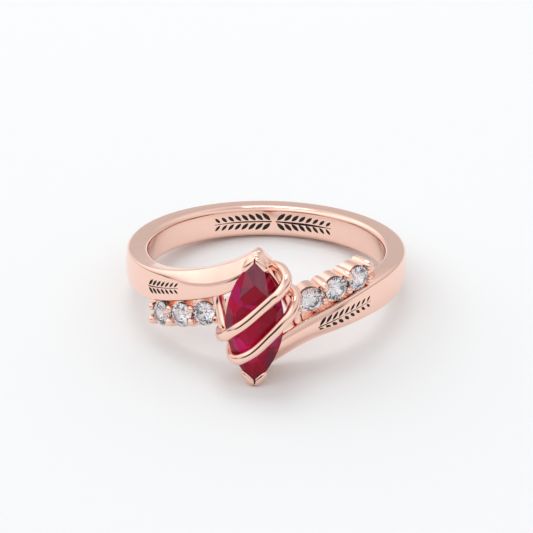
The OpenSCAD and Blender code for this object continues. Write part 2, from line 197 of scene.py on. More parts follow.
on_left = add_node(tree, "ShaderNodeMapRange", {"From Min": 0, "From Max": panel_fade},
                   {"Value": leftward.outputs["Value"]}, interpolation_type="SMOOTHSTEP")
panel = add_node(tree, "ShaderNodeMath", {},
                 {0: panel_height.outputs["Color"], 1: on_left.outputs["Result"]},
                 operation="MULTIPLY")
lit = add_node(tree, "ShaderNodeMix", {"B": (panel_light, panel_light, panel_light, 1)},
               {"Factor": panel.outputs["Value"], "A": tent.outputs["Result"]}, data_type="RGBA")
tree.links.new(lit.outputs["Result"], tree.nodes["Background"].inputs["Color"])
tree.nodes["Background"].inputs["Strength"].default_value = tent_light
bpy.context.scene.view_settings.view_transform = "Standard"
bpy.context.scene.view_settings.look = "None"

softbox_at = Vector((-0.03, 0.13, 0.40))
softbox_size = 180
softbox_watts = 0.32
softbox = bpy.data.objects.new("softbox", bpy.data.lights.new("softbox", "AREA"))
softbox.data.size = softbox_size * MM
softbox.data.energy = softbox_watts
softbox_turn = softbox_at.to_track_quat("Z", "Y").to_matrix().to_4x4()
softbox.matrix_world = Matrix.Translation(softbox_at) @ softbox_turn
bpy.context.scene.collection.objects.link(softbox)

# Band and arms. The cast mounting, of sterling silver plated with rose gold, starts as one bar
# round the finger. Its two ends sweep past each other at the head, the left one above and the
# right one below. The inside is rounded for comfort and the left arm's far edge is rolled.
finger_r = finger_bore["dims"]["r_mm"]
band_w = 2.44
band_t = 1.68
band_crown = 0.08
edge_round = 0.26
comfort_round = 0.42
comfort_steps = 8
shoulder_len = 16.2
arm_rise = 3.2
arm_sweep = 4.6
arm_swell = 0.75
arm_lift = 0.9
arm_roll = 0.78
roll_depth = 0.92
roll_crease = 34
roll_onset = 1.4
edge_handle = 0.55
edge_start = 0.012
wall_relief = 0.2
band_r = finger_r + band_t
# places across the face, with the last ones close to its edges to keep the shading flat there
face_shares = [-1, -0.99] + [k / 8 for k in range(-7, 8)] + [0.99, 1]
# place along the arm as a share of shoulder_len, then shares of arm_rise, arm_sweep,
# arm_swell, arm_lift and arm_roll
arm_rows = [(-0.073, 0.82, 1.00, 0.30, 1.00, 0.2),
            (-0.044, 0.90, 0.97, 0.70, 0.95, 0.5),
            (-0.022, 1.01, 0.94, 0.90, 0.90, 0.7),
            (0.000, 1.04, 0.90, 1.00, 0.85, 0.8),
            (0.056, 0.87, 0.73, 1.00, 0.65, 1.0),
            (0.111, 0.71, 0.58, 0.85, 0.42, 1.0),
            (0.189, 0.54, 0.45, 0.50, 0.12, 0.9),
            (0.278, 0.385, 0.335, 0.20, 0.00, 0.7),
            (0.389, 0.255, 0.22, 0.06, 0.00, 0.4),
            (0.478, 0.17, 0.135, 0.00, 0.00, 0.2),
            (0.556, 0.11, 0.075, 0.00, 0.00, 0.1),
            (0.633, 0.065, 0.04, 0.00, 0.00, 0.0),
            (0.780, 0.02, 0.01, 0.00, 0.00, 0.0),
            (1.000, 0.00, 0.00, 0.00, 0.00, 0.0)]
CLIMB, SWEEP, SWELL, LIFT, ROLL = 1, 2, 3, 4, 5


def blend(p, q, m, n, t):
    """From p to q, leaving at slope m and arriving at slope n"""
    return (p * (2 * t**3 - 3 * t**2 + 1) + m * (t**3 - 2 * t**2 + t)
            + q * (3 * t**2 - 2 * t**3) + n * (t**3 - t**2))


def read_row(rows, key, column):
    """Value of a column at a place between the rows, on a smooth curve through them"""
    last = len(rows) - 1
    key = min(max(key, rows[0][0]), rows[last][0])
    i = max(k for k in range(last) if k == 0 or rows[k][0] <= key)

    def slope(k):
        a, b = max(k - 1, 0), min(k + 1, last)
        return (rows[b][column] - rows[a][column]) / (rows[b][0] - rows[a][0])
    step = rows[i + 1][0] - rows[i][0]
    return blend(rows[i][column], rows[i + 1][column], slope(i) * step, slope(i + 1) * step,
                 (key - rows[i][0]) / step)


def on_ring(angle, along, out):
    return Vector((out * math.sin(angle), -out * math.cos(angle), along))


def arc(centre, radius, start, end, steps):
    turns = [math.radians(start + (end - start) * i / steps) for i in range(steps + 1)]
    return [(centre[0] + radius * math.cos(t), centre[1] + radius * math.sin(t)) for t in turns]


def arm_edges(distance):
    place = distance / shoulder_len
    return (-band_w / 2 + arm_sweep * read_row(arm_rows, place, SWEEP),
            band_w / 2 + arm_rise * read_row(arm_rows, place, CLIMB))


def arm_face(distance):
    return band_r + arm_swell * read_row(arm_rows, distance / shoulder_len, SWELL)


def rounded(out, along, width, depth, turn, steps=11):
    """Edge that leaves the face at a turn in degrees and ends square to it"""
    knee = width * math.tan(math.radians(turn))
    corners = [(out, along), (out - edge_handle * knee, along + edge_handle * width),
               (out - (1 - edge_handle) * knee - edge_handle * depth, along + width),
               (out - depth, along + width)]
    points = []
    for t in [edge_start] + [i / steps for i in range(1, steps + 1)]:
        pulls = [(1 - t)**3, 3 * t * (1 - t)**2, 3 * t * t * (1 - t), t**3]
        points.append(tuple(sum(w * c[k] for w, c in zip(pulls, corners)) for k in (0, 1)))
    return points


def arm_section(distance, left):
    """Outline of the bar as distances out from the axis and along it"""
    low, high = arm_edges(distance)
    place = distance / shoulder_len
    inner = finger_r + arm_lift * read_row(arm_rows, place, LIFT)
    share = read_row(arm_rows, place, ROLL)
    half = (high - low) / 2
    crown = min(band_crown, half / 2)
    edge = arm_face(distance) - crown
    roll_w = edge_round + arm_roll * share
    width = min(roll_w, half * 0.9)
    depth = (edge_round + (roll_depth - edge_round) * share) * width / roll_w
    far = (width, depth, roll_crease * min(1, roll_onset * share))
    near = (min(edge_round, half * 0.75), min(edge_round, half * 0.75), 0)
    if left:
        upper, lower = far, near
    else:
        low, high, upper, lower = -high, -low, near, far
    inside = min(comfort_round, half * 0.6)
    wall = max(inner - wall_relief, finger_r)
    top_from, low_from = high - upper[0], low + lower[0]
    middle, spread = (top_from + low_from) / 2, (top_from - low_from) / 2
    face = [(edge + crown * (1 - t * t), middle + t * spread) for t in face_shares]
    return (face + rounded(edge, top_from, *upper)
            + arc((wall + inside, high - inside), inside, 90, 180, comfort_steps)
            + arc((wall + inside, low + inside), inside, 180, 270, comfort_steps)
            + [(out, -along) for out, along in rounded(edge, -low_from, *lower)][::-1])


def loft(rings):
    shape = bmesh.new()
    rows = [[shape.verts.new(p) for p in ring] for ring in rings]
    count = len(rows[0])
    for a, b in zip(rows, rows[1:]):
        for j in range(count):
            k = (j + 1) % count
            shape.faces.new((a[j], a[k], b[k], b[j]))
    shape.faces.new(rows[0])
    shape.faces.new(rows[-1])
    bmesh.ops.recalc_face_normals(shape, faces=shape.faces)
    return shape


def solid(name, shape, turn=Matrix.Identity(4)):
    shape.transform(turn)
    mesh = bpy.data.meshes.new(name)
    shape.to_mesh(mesh)
    shape.free()
    return bpy.data.objects.new(name, mesh)


tip = arm_rows[0][0] * shoulder_len
tip_round = 0.5
tip_size = 0.2
half_turn = math.pi * band_r
arm_steps, back_steps, tip_steps = 90, 70, 7
closer_at_head = 1.2
distances = [tip + tip_round * (1 - math.cos(math.pi / 2 * i / tip_steps)) for i in range(tip_steps)]
distances += [tip + tip_round + (shoulder_len - tip - tip_round) * (i / arm_steps)**closer_at_head
              for i in range(arm_steps)]
distances += [shoulder_len + (half_turn - shoulder_len) * i / back_steps
              for i in range(back_steps + 1)]


def arm_ring(distance, left):
    """Outline in its place on the ring, drawn in towards the arm's rounded end"""
    points = arm_section(distance, left)
    middle = [sum(p[k] for p in points) / len(points) for k in (0, 1)]
    t = min(1, (distance - tip) / tip_round)
    size = max(tip_size, math.sqrt(1 - (1 - t)**2))
    points = [[m + (v - m) * size for v, m in zip(p, middle)] for p in points]
    angle = distance / band_r * (-1 if left else 1)
    return [on_ring(angle, along, out) for out, along in points]


rings = [arm_ring(d, True) for d in distances] + [arm_ring(d, False) for d in distances[-2::-1]]
casting = solid("mounting_cast", loft(rings))

# Side settings. A row of three cups beside each arm, cast with the band and plated with it.
# They stand on one rail, with a fat claw outside and a small bead inside at every stone's edge.
turned_over = Matrix.Rotation(math.pi, 4, "Y")
side_d = 1.75
side_rise = 1.4
side_first = 3.98
side_pitch = 2
side_stones = 3
row_start = 0.67
row_climb = 0.93
row_bend = 0.2
stone_gap = 0.04
cup_wall = 0.12
cup_thinned = 0.05
cup_lowered = 0.16
cup_hole_d = 0.9
cup_sides = 48
row_lift = 0.12
claw_d = 0.9
claw_steps = 16
bead_d = 0.56
bead_rise = 0.42
bead_post_d = 0.94 * bead_d
cup_r = side_d / 2 + stone_gap + cup_wall
claw_out = 0.46 * cup_r
bead_in = 0.44 * cup_r
claw_top = side_rise + bead_rise
side_r = finger_r + side_rise
# height up the claw, its distance from the row's line as a share of cup_r, its thickness as
# a share of claw_d
OUT, THICK = 1, 2
claw_rows = [(0.05, 0.50, 1.00), (0.40, 0.52, 1.00), (0.66, 0.52, 0.92), (0.82, 0.49, 0.78),
             (0.93, 0.46, 0.58), (1.00, 0.44, 0.24)]


def around(distance):
    return distance / band_r


def row_line(distance):
    t = (distance - side_first) / ((side_stones - 1) * side_pitch)
    return row_start + row_climb * t * (1 + row_bend - row_bend * t)


def at_ring(angle, along, out):
    return (Matrix.Rotation(angle, 4, "Z") @ Matrix.Translation((0, -out, along))
            @ Matrix.Rotation(math.pi / 2, 4, "X"))


def round_bar(path, thick, facing, sides=24):
    rings = []
    for i, point in enumerate(path):
        along = (path[min(i + 1, len(path) - 1)] - path[max(i - 1, 0)]).normalized()
        u = along.cross(facing).normalized()
        v = along.cross(u)
        turns = [2 * math.pi * k / sides for k in range(sides)]
        rings.append([point + thick[i] / 2 * (u * math.cos(t) + v * math.sin(t)) for t in turns])
    return loft(rings)


def lathe(profile, sides=40):
    shape = bmesh.new()
    for radius, z in profile:
        for k in range(sides):
            turn = 2 * math.pi * k / sides
            shape.verts.new((radius * math.cos(turn), radius * math.sin(turn), z))
    shape.verts.ensure_lookup_table()
    for i in range(len(profile)):
        for k in range(sides):
            a, b = i * sides, (i + 1) % len(profile) * sides
            n = (k + 1) % sides
            shape.faces.new([shape.verts[v] for v in (a + k, a + n, b + n, b + k)])
    bmesh.ops.recalc_face_normals(shape, faces=shape.faces)
    return shape


def ball(diameter):
    shape = bmesh.new()
    bmesh.ops.create_icosphere(shape, subdivisions=4, radius=diameter / 2)
    return shape


def post(diameter, low, high, sides=24):
    shape = bmesh.new()
    bmesh.ops.create_cone(shape, cap_ends=True, segments=sides, radius1=diameter / 2,
                          radius2=diameter / 2, depth=high - low,
                          matrix=Matrix.Translation((0, 0, (low + high) / 2)))
    return shape


def combine(base, tools, operation="UNION"):
    shown = bpy.context.scene.collection.objects
    shown.link(base)
    for tool in tools:
        shown.link(tool)
        step = base.modifiers.new(tool.name, "BOOLEAN")
        step.operation = operation
        step.solver = "MANIFOLD"
        step.material_mode = "TRANSFER"
        step.object = tool
    bpy.context.view_layer.update()
    result = base.evaluated_get(bpy.context.evaluated_depsgraph_get())
    base.data = bpy.data.meshes.new_from_object(result)
    base.modifiers.clear()
    shown.unlink(base)
    for tool in tools:
        bpy.data.objects.remove(tool)
    return base


# where the rail starts before the first stone, ends and turns in past the last one, in pitches
rail_from, rail_to, rail_turn = -0.75, 0.35, -0.5
rail_bend = 0.55
# up from the finger and across the row's line
rail_section = [(0.62 * side_rise, -0.496 * cup_r), (0.50 * side_rise, -0.62 * cup_r),
                (0.50 * row_lift, -0.62 * cup_r), (0.50 * row_lift, 0.62 * cup_r),
                (0.50 * side_rise, 0.62 * cup_r), (0.62 * side_rise, 0.496 * cup_r)]
rail_steps = 30


def row_rail():
    start = side_first + rail_from * side_pitch
    end = side_first + (side_stones + rail_to) * side_pitch
    rings = []
    for i in range(rail_steps + 1):
        distance = start + (end - start) * i / rail_steps
        past = max(0, distance - side_first - (side_stones + rail_turn) * side_pitch)
        line = row_line(distance) - rail_bend * past * past
        rings.append([on_ring(around(distance), line + along, finger_r + rise)
                      for rise, along in rail_section])
    return loft(rings)


parts = []
cup_d = 2 * (cup_r - cup_thinned)
cup_h = side_rise - row_lift - cup_lowered
for i in range(side_stones):
    distance = side_first + i * side_pitch
    parts.append(solid("cup", post(cup_d, 0, cup_h, cup_sides),
                       at_ring(around(distance), row_line(distance), finger_r + row_lift)))
for i in range(side_stones + 1):
    distance = side_first + (i - 0.5) * side_pitch
    line = row_line(distance)
    foot = claw_rows[0][0]
    heights = [foot + (1 - foot) * k / claw_steps for k in range(claw_steps + 1)]
    path = [on_ring(around(distance), line + read_row(claw_rows, h, OUT) * cup_r,
                    finger_r + h * claw_top) for h in heights]
    thick = [claw_d * read_row(claw_rows, h, THICK) for h in heights]
    facing = Vector((math.cos(around(distance)), math.sin(around(distance)), 0))
    parts.append(solid("claw", round_bar(path, thick, facing)))
    parts.append(solid("claw_tip", ball(bead_d),
                       at_ring(around(distance), line + claw_out, finger_r + claw_top - bead_d / 2)))
    inside = at_ring(around(distance), line - bead_in, finger_r)
    parts.append(solid("bead_post", post(bead_post_d, 2 * row_lift, claw_top - bead_d / 2), inside))
    parts.append(solid("bead", ball(bead_d),
                       inside @ Matrix.Translation((0, 0, claw_top - bead_d / 2))))
setting = combine(solid("side_setting", row_rail()), parts)
other_setting = bpy.data.objects.new("other_setting", setting.data.copy())
other_setting.data.transform(turned_over)

# a side stone's table, crown, pavilion and girdle, as shares of its width
side_table, side_crown, side_pavilion, side_girdle = 0.55, 0.15, 0.43, 0.04
girdle = side_d / 2 / math.cos(math.pi / 16) + stone_gap
seat_table = side_d / 2 * side_table / math.cos(math.pi / 8) + stone_gap
seat_top = side_girdle * side_d / 2 + stone_gap
seat_crown = seat_top + side_crown * side_d
seat_depth = side_pavilion * side_d * girdle / (side_d / 2)
hole = cup_hole_d / 2
near_axis = 0.001
seat_profile = [(near_axis, -side_rise), (hole, -side_rise),
                (hole, -seat_top - seat_depth * (1 - hole / girdle)), (girdle, -seat_top),
                (girdle, seat_top), (seat_table, seat_crown), (near_axis, seat_crown)]
side_places = []
for i in range(side_stones):
    distance = side_first + i * side_pitch
    side_places.append(at_ring(around(distance), row_line(distance), side_r))
seats = [solid("seat", lathe(seat_profile), turn @ place)
         for place in side_places for turn in (Matrix.Identity(4), turned_over)]

# Head. Two V prongs hold the long stone's tips, each a broad post cast on an arm's end and cut
# out to the stone's point. A bent bar beside the stone joins each arm to the other one's tip.
marquise_l = 9.2
marquise_w = 4.05
marquise_rise = 3.45
marquise_crown_h = 0.55
marquise_depth = 1.75
marquise_girdle = 0.12
prong_w = 1.8
prong_wall = 0.3
prong_grip = 0.32
prong_over = 0.105
prong_nose = 1.24
prong_steps = 24
bar_d = 0.85
bar_steps = 6
girdle_r = finger_r + marquise_rise
head_half = marquise_l / 2 + prong_wall
prong_foot_r = finger_r + arm_lift
prong_top_r = girdle_r + marquise_girdle / 2 + prong_over
# height up the prong, then width, reach and inner face as shares of prong_w and head_half
WIDTH, REACH, INNER = 1, 2, 3
prong_rows = [(0.00, 0.60, 0.83, 0.62), (0.40, 0.72, 0.90, 0.65), (0.72, 0.90, 0.97, 0.68),
              (0.88, 1.00, 1.00, 0.69), (0.96, 0.96, 0.985, 0.70), (1.00, 0.84, 0.95, 0.73)]
# across, along and up as shares of marquise_w, head_half and marquise_rise
bar_rows = [(-0.70, 0.24, 0.26), (-0.665, 0.08, 0.30), (-0.60, -0.08, 0.42), (-0.545, -0.22, 0.55),
            (-0.46, -0.36, 0.58), (-0.33, -0.51, 0.52), (-0.14, -0.67, 0.42)]


def smooth_path(points, steps):
    """Smooth curve through the points, in so many steps from each to the next"""
    last = len(points) - 1
    slopes = [(points[min(i + 1, last)] - points[max(i - 1, 0)]) / 2 for i in range(last + 1)]
    path = [blend(points[i], points[i + 1], slopes[i], slopes[i + 1], k / steps)
            for i in range(last) for k in range(steps)]
    return path + [points[last]]


def prong_ring(height):
    half = prong_w * read_row(prong_rows, height, WIDTH) / 2
    reach = head_half * read_row(prong_rows, height, REACH)
    inner = head_half * read_row(prong_rows, height, INNER)
    shoulder = reach - half * prong_nose
    out = prong_foot_r + height * (prong_top_r - prong_foot_r)
    turns = [math.pi * k / prong_steps for k in range(prong_steps + 1)]
    outline = [(half * math.cos(t), shoulder + (reach - shoulder) * math.sin(t)) for t in turns]
    return [Vector((x, -out, z)) for x, z in outline + [(-half, inner), (half, inner)]]


mouth_w = 1.3
mouth_slope = (marquise_l / marquise_w - marquise_w / marquise_l) / 2
mouth_deep = marquise_l / 2 - prong_grip - mouth_w * mouth_slope
tools = [setting, other_setting]
for turn in (Matrix.Identity(4), turned_over):
    rings = [prong_ring(k / prong_steps) for k in range(prong_steps + 1)]
    prong = solid("prong", loft(rings), turn)
    outline = ((0, marquise_l / 2 - prong_grip), (mouth_w, mouth_deep), (-mouth_w, mouth_deep))
    mouth = loft([[Vector((x, -out, z)) for x, z in outline] for out in (girdle_r, girdle_r + 1)])
    tools.append(combine(prong, [solid("mouth", mouth, turn)], "DIFFERENCE"))
    bar = smooth_path([Vector((a * marquise_w, -finger_r - up * marquise_rise, b * head_half))
                       for a, b, up in bar_rows], bar_steps)
    tools.append(solid("head_bar", round_bar(bar, [bar_d] * len(bar), Vector((0, 1, 0))), turn))

# Wires. Two round wires of the same metal cross over the stone from upper right to lower left.
# They are bent down past its edges and soldered to the bars beside it, and plated with the rest.
wire_d = 0.78
wire_clear = 0.06
wire_steps = 8
wire_sides = 28
wire_facing = Vector((0.6, 0.8, 0))
wire_r = girdle_r + marquise_girdle / 2 + marquise_crown_h + wire_clear + wire_d / 2
# across, along and up as shares of marquise_w, marquise_l and wire_r - finger_r
upper_wire = [(0.28, 0.363, 0.27), (0.44, 0.386, 0.55), (0.54, 0.355, 0.85), (0.43, 0.275, 0.99),
              (0.29, 0.213, 1.00), (0.07, 0.116, 1.00), (-0.15, 0.023, 1.00),
              (-0.33, -0.043, 0.97), (-0.49, -0.112, 0.84), (-0.60, -0.158, 0.60),
              (-0.62, -0.168, 0.30)]
lower_wire = [(0.50, 0.235, 0.42), (0.67, 0.200, 0.65), (0.68, 0.165, 0.83), (0.62, 0.101, 0.94),
              (0.52, 0.046, 0.98), (0.36, -0.038, 1.00), (0.19, -0.123, 1.00),
              (0.02, -0.199, 1.00), (-0.15, -0.252, 0.99), (-0.27, -0.284, 0.93),
              (-0.37, -0.293, 0.79), (-0.42, -0.286, 0.54), (-0.43, -0.280, 0.27)]
for rows in (upper_wire, lower_wire):
    wire = smooth_path([Vector((a * marquise_w, -finger_r - up * (wire_r - finger_r), b * marquise_l))
                        for a, b, up in rows], wire_steps)
    tools.append(solid("wire", round_bar(wire, [wire_d] * len(wire), wire_facing, wire_sides)))
combine(casting, tools)

# Marquise stone. One long synthetic ruby, ground flat by flat to a table, sloping crown facets,
# a thin girdle and a deep pavilion, then polished. Only its two tips are held.
marquise_arc_r = (marquise_l**2 + marquise_w**2) / 4 / marquise_w
marquise_tip = math.asin(marquise_l / 2 / marquise_arc_r)
girdle_cuts = 8
pavilion_cuts = 4
# turn of the facet as a share of the way to the tip, then two points that its plane goes
# through: reach and height as shares of the girdle's distance and of the crown's height
crown_facets = [(0.00, 1.00, 0.00, 0.74, 1.00), (0.50, 1.00, 0.00, 0.72, 1.00),
                (1.00, 1.00, 0.00, 0.86, 1.00), (1.12, 0.97, 0.20, 0.72, 1.00)]
# the two facets beside the table's point: their turn, as above, their slope and their reach
star_share, star_slope, star_reach = 0.977, math.radians(16.8), 2.085


def marquise_reach(turn):
    return marquise_arc_r - (marquise_arc_r - marquise_w / 2) * math.cos(turn)


def cut_stone(planes, half, low, high):
    """Block cut back to every plane in turn, as a stone is ground"""
    shape = bmesh.new()
    bmesh.ops.create_cube(shape, size=1, matrix=Matrix.Translation((0, 0, (low + high) / 2))
                          @ Matrix.Diagonal((2 * half, 2 * half, high - low, 1)))
    for point, normal in planes:
        cut = bmesh.ops.bisect_plane(shape, geom=shape.verts[:] + shape.edges[:] + shape.faces[:],
                                     plane_co=point, plane_no=normal, clear_outer=True)
        edges = [e for e in cut["geom_cut"] if isinstance(e, bmesh.types.BMEdge)]
        if edges:
            bmesh.ops.contextual_create(shape, geom=edges)
    bmesh.ops.recalc_face_normals(shape, faces=shape.faces)
    return shape


def facet(turn, slope, reach, height, grow=0):
    """Plane at a turn round the stone and a slope, moved out by grow"""
    normal = (Matrix.Rotation(turn, 3, "Z") @ Matrix.Rotation(slope, 3, "Y")) @ Vector((0, 0, 1))
    return Matrix.Rotation(turn, 3, "Z") @ Vector((reach, 0, height)) + grow * normal, normal


def marquise_planes(grow):
    top = marquise_girdle / 2
    planes = []
    for half in (0, math.pi):
        for k in range(-girdle_cuts, girdle_cuts + 1):
            turn = k / girdle_cuts * marquise_tip
            planes.append(facet(half + turn, math.pi / 2, marquise_reach(turn), 0, grow))
        for k in range(-pavilion_cuts, pavilion_cuts + 1):
            turn = k / pavilion_cuts * marquise_tip
            reach = marquise_reach(turn)
            planes.append(facet(half + turn, math.pi - math.atan(marquise_depth / reach),
                                reach, -top, grow))
        for flip in (-1, 1):
            for share, reach_a, height_a, reach_b, height_b in crown_facets:
                turn = flip * share * marquise_tip
                reach = marquise_reach(turn)
                slope = math.atan((height_b - height_a) * marquise_crown_h
                                  / ((reach_a - reach_b) * reach))
                planes.append(facet(half + turn, slope, reach * reach_a,
                                    top + height_a * marquise_crown_h, grow))
            planes.append(facet(half + flip * star_share * marquise_tip, star_slope, star_reach,
                                top + marquise_crown_h, grow))
    return planes


def marquise_shape(grow):
    top = marquise_girdle / 2
    return cut_stone(marquise_planes(grow), marquise_l, -marquise_depth - top - 2 * grow,
                     top + marquise_crown_h + grow)


# Corundum, cut and polished: a wet shine over deep red that is only half clear. Over the red,
# every facet gets painted shade and painted reflection by the way it faces, and painted flashes,
# standing for light thrown up by the pavilion, cross these tones.
painted_flash_size = 1.1
side_facet_from, side_facet_full = 0.28, 0.30
ruby, tree, shader = new_material("cut_synthetic_ruby")
place = add_node(tree, "ShaderNodeTexCoord")
facing = add_node(tree, "ShaderNodeSeparateXYZ", {}, {"Vector": place.outputs["Normal"]})
to_right = add_node(tree, "ShaderNodeMapRange", {"From Min": -1}, {"Value": facing.outputs["X"]})
to_top = add_node(tree, "ShaderNodeMapRange", {"From Min": -1}, {"Value": facing.outputs["Z"]})
# painted shade and painted reflection by how each facet tilts, then by how it faces sideways
painted_light_by_tilt = add_node(tree, "ShaderNodeValToRGB", {}, {"Fac": to_top.outputs["Result"]},
                   [(0, "#a01040"), (0.46, "#d8002c"), (0.64, "#c8a0b4"), (0.78, "#600a20")])
painted_light_by_side = add_node(tree, "ShaderNodeValToRGB", {}, {"Fac": to_right.outputs["Result"]},
                    [(0, "#701c40"), (0.17, "#d81858"), (0.27, "#701834"), (0.62, "#8c0c30"),
                     (0.8, "#c80c44")])
leaning = add_node(tree, "ShaderNodeMath", {}, {0: facing.outputs["X"]}, operation="ABSOLUTE")
to_side = add_node(tree, "ShaderNodeMapRange",
                   {"From Min": side_facet_from, "From Max": side_facet_full},
                   {"Value": leaning.outputs["Value"]})
# painted facet light: facets that face sideways take the sideways tones
facets = add_node(tree, "ShaderNodeMix", {},
                  {"Factor": to_side.outputs["Result"], "A": painted_light_by_tilt.outputs["Color"],
                   "B": painted_light_by_side.outputs["Color"]}, data_type="RGBA")
# painted flashes: cells of crimson and magenta standing for light thrown up by the pavilion
cells = add_node(tree, "ShaderNodeTexVoronoi", {"Scale": 1 / (painted_flash_size * MM)},
                 {"Vector": place.outputs["Object"]})
cell = add_node(tree, "ShaderNodeSeparateColor", {}, {"Color": cells.outputs["Color"]})
painted_flashes = add_node(tree, "ShaderNodeValToRGB", {}, {"Fac": cell.outputs["Red"]},
                   [(0, "#b00028"), (0.3, "#f80048"), (0.55, "#841038"), (0.72, "#ff28a0")])
for tones in (painted_light_by_tilt, painted_light_by_side, painted_flashes):
    tones.color_ramp.interpolation = "CONSTANT"
# base colour: the stone's deep red with painted light, half painted facet light, half painted flashes
body = add_node(tree, "ShaderNodeMix", {"Factor": 0.5},
                {"A": facets.outputs["Result"], "B": painted_flashes.outputs["Color"]}, data_type="RGBA")
tree.links.new(body.outputs["Result"], shader.inputs["Base Color"])
shader.inputs["Roughness"].default_value = 0.02
shader.inputs["IOR"].default_value = 1.77
shader.inputs["Specular Tint"].default_value = linear("#c87890")
shader.inputs["Transmission Weight"].default_value = 0.6


def finish_piece(piece, material, slot, *nodes, smooth=None):
    mesh = piece.data
    mesh.transform(ring_frame @ Matrix.Scale(MM, 4))
    if not mesh.materials:
        mesh.materials.append(material)
    if smooth:
        mesh.shade_smooth()
        mesh.set_sharp_from_angle(angle=smooth)
    else:
        mesh.shade_flat()
    bpy.context.scene.collection.objects.link(piece)
    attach(piece, "root")
    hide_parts(*nodes)


head_place = at_ring(0, 0, girdle_r)
marquise = solid("marquise_stone_cut", marquise_shape(0), head_place)
finish_piece(marquise, ruby, "red_stone", "marquise_stone")

# Seats and prong tips. Every stone's seat is cut out of the casting with a hair of room around
# the stone. Each V prong is split by a crease, and its two lobes are pressed over the long stone.
lobe_d = 0.54
lobe_steps = 4
lobe_sides = 20
crease_top = 0.6
# along the head, half the crease's width at its top, and how far out its bottom lies
crease_rows = [(4.0, 0.26, 0.0), (4.95, 0.03, 0.2)]
# along the head, across it, out from the girdle and thickness as a share of lobe_d
lobe_rows = [(4.66, 0.03, 0.02, 0.50), (4.55, 0.10, 0.08, 0.90), (4.36, 0.30, 0.11, 1.00),
             (4.12, 0.52, 0.12, 1.00), (3.88, 0.70, 0.10, 0.90), (3.70, 0.81, 0.05, 0.60)]
combine(casting, seats, "DIFFERENCE")
lobes = []
cuts = [solid("stone_room", marquise_shape(stone_gap), head_place)]
for turn in (Matrix.Identity(4), turned_over):
    for flip in (-1, 1):
        path = smooth_path([Vector((flip * a, -girdle_r - out, z)) for z, a, out, _ in lobe_rows],
                           lobe_steps)
        shares = [(k, share) for k, (_, _, _, share) in enumerate(lobe_rows)]
        thick = [lobe_d * read_row(shares, i / lobe_steps, 1) for i in range(len(path))]
        lobes.append(solid("lobe", round_bar(path, thick, Vector((0, 1, 0)), lobe_sides), turn))
    crease = [[Vector((x, -girdle_r - out, z))
               for x, out in ((0, bottom), (wide, crease_top), (-wide, crease_top))]
              for z, wide, bottom in crease_rows]
    cuts.append(solid("crease", loft(crease), turn))
combine(casting, lobes)
combine(casting, cuts, "DIFFERENCE")

# Engraving. A sprig of pointed leaves on each shoulder and a pair of them inside the back of the
# band, cut a little way into the metal by a graver and blackened so that they stand out.
groove = 0.06
leaf_l = 0.72
leaf_w = 0.27
leaf_pitch = 0.5
leaf_lean = math.radians(42)
leaf_off = 0.09
leaf_full = 0.8
leaf_first = 0.15
leaf_fade = 0.35
stem_w = 0.09
stem_fade = 0.6
# length and size of each sprig
left_sprig, right_sprig, inner_sprig = (3.2, 0.95), (4.6, 1), (4.5, 1.2)
# where each sprig starts, along the band from the head's middle, and its shift across the band;
# the inner ones start from the middle of the back
left_from, left_shift = 9.2, -0.08
right_from, right_shift = 4.4, 0.05
inner_from = 0.16


def leaf_outline(along, across, turn, length, width):
    shares = [k / 8 for k in range(9)]
    curve = [(length * t, width / 2 * math.sin(math.pi * t)**leaf_full) for t in shares]
    flat = curve + [(x, -y) for x, y in curve[-2:0:-1]]
    return [(along + x * math.cos(turn) - y * math.sin(turn),
             across + x * math.sin(turn) + y * math.cos(turn)) for x, y in flat]


def sprig(length, size):
    """Outlines of the leaves, in pairs that grow smaller towards the tip, and of the stem"""
    pairs = round(length / (leaf_pitch * size))
    outlines = []
    for i in range(pairs):
        along = (i + leaf_first) * length / pairs
        fade = size * (1 - leaf_fade * i / pairs)
        for flip in (-1, 1):
            outlines.append(leaf_outline(along, flip * leaf_off * size, flip * leaf_lean,
                                         leaf_l * fade, leaf_w * fade))
    steps = 4 * pairs
    stem = [(length * k / steps, stem_w * size / 2 * (1 - stem_fade * k / steps))
            for k in range(steps + 1)]
    return outlines + [stem + [(x, -y) for x, y in stem[::-1]]]


def engraving(outlines, spot):
    cutters = []
    for outline in outlines:
        rings = [[spot(along, across, rise) for along, across in outline]
                 for rise in (-groove, groove)]
        cutters.append(solid("engraving", loft(rings)))
    return cutters


def left_spot(along, across, rise):
    distance = left_from - along
    low, high = arm_edges(distance)
    return on_ring(-around(distance), (low + high) / 2 + left_shift + across,
                   arm_face(distance) + rise)


def right_spot(along, across, rise):
    distance = right_from + along
    low, high = arm_edges(distance)
    return on_ring(around(distance), -(low + high) / 2 + right_shift + across,
                   arm_face(distance) + rise)


def inner_spot(hand):
    def spot(along, across, rise):
        return on_ring(math.pi + hand * (inner_from + along) / finger_r, across, finger_r + rise)
    return spot


grooves = engraving(sprig(*left_sprig), left_spot) + engraving(sprig(*right_sprig), right_spot)
for hand in (-1, 1):
    grooves += engraving(sprig(*inner_sprig), inner_spot(hand))

# Black oxide in the grooves: nearly black and dull, with a fine grain that breaks up any shine.
oxide_grain = 0.03
oxide_relief = 0.005
black, tree, shader = new_material("blackened_groove")
place = add_node(tree, "ShaderNodeTexCoord")
oxide = add_node(tree, "ShaderNodeTexNoise", {"Scale": 1 / (oxide_grain * MM)},
                 {"Vector": place.outputs["Object"]})
bump = add_node(tree, "ShaderNodeBump", {"Strength": 0.4, "Distance": oxide_relief * MM},
                {"Height": oxide.outputs["Fac"]})
tree.links.new(bump.outputs["Normal"], shader.inputs["Normal"])
shader.inputs["Base Color"].default_value = linear("#140c0a")
shader.inputs["Roughness"].default_value = 0.55

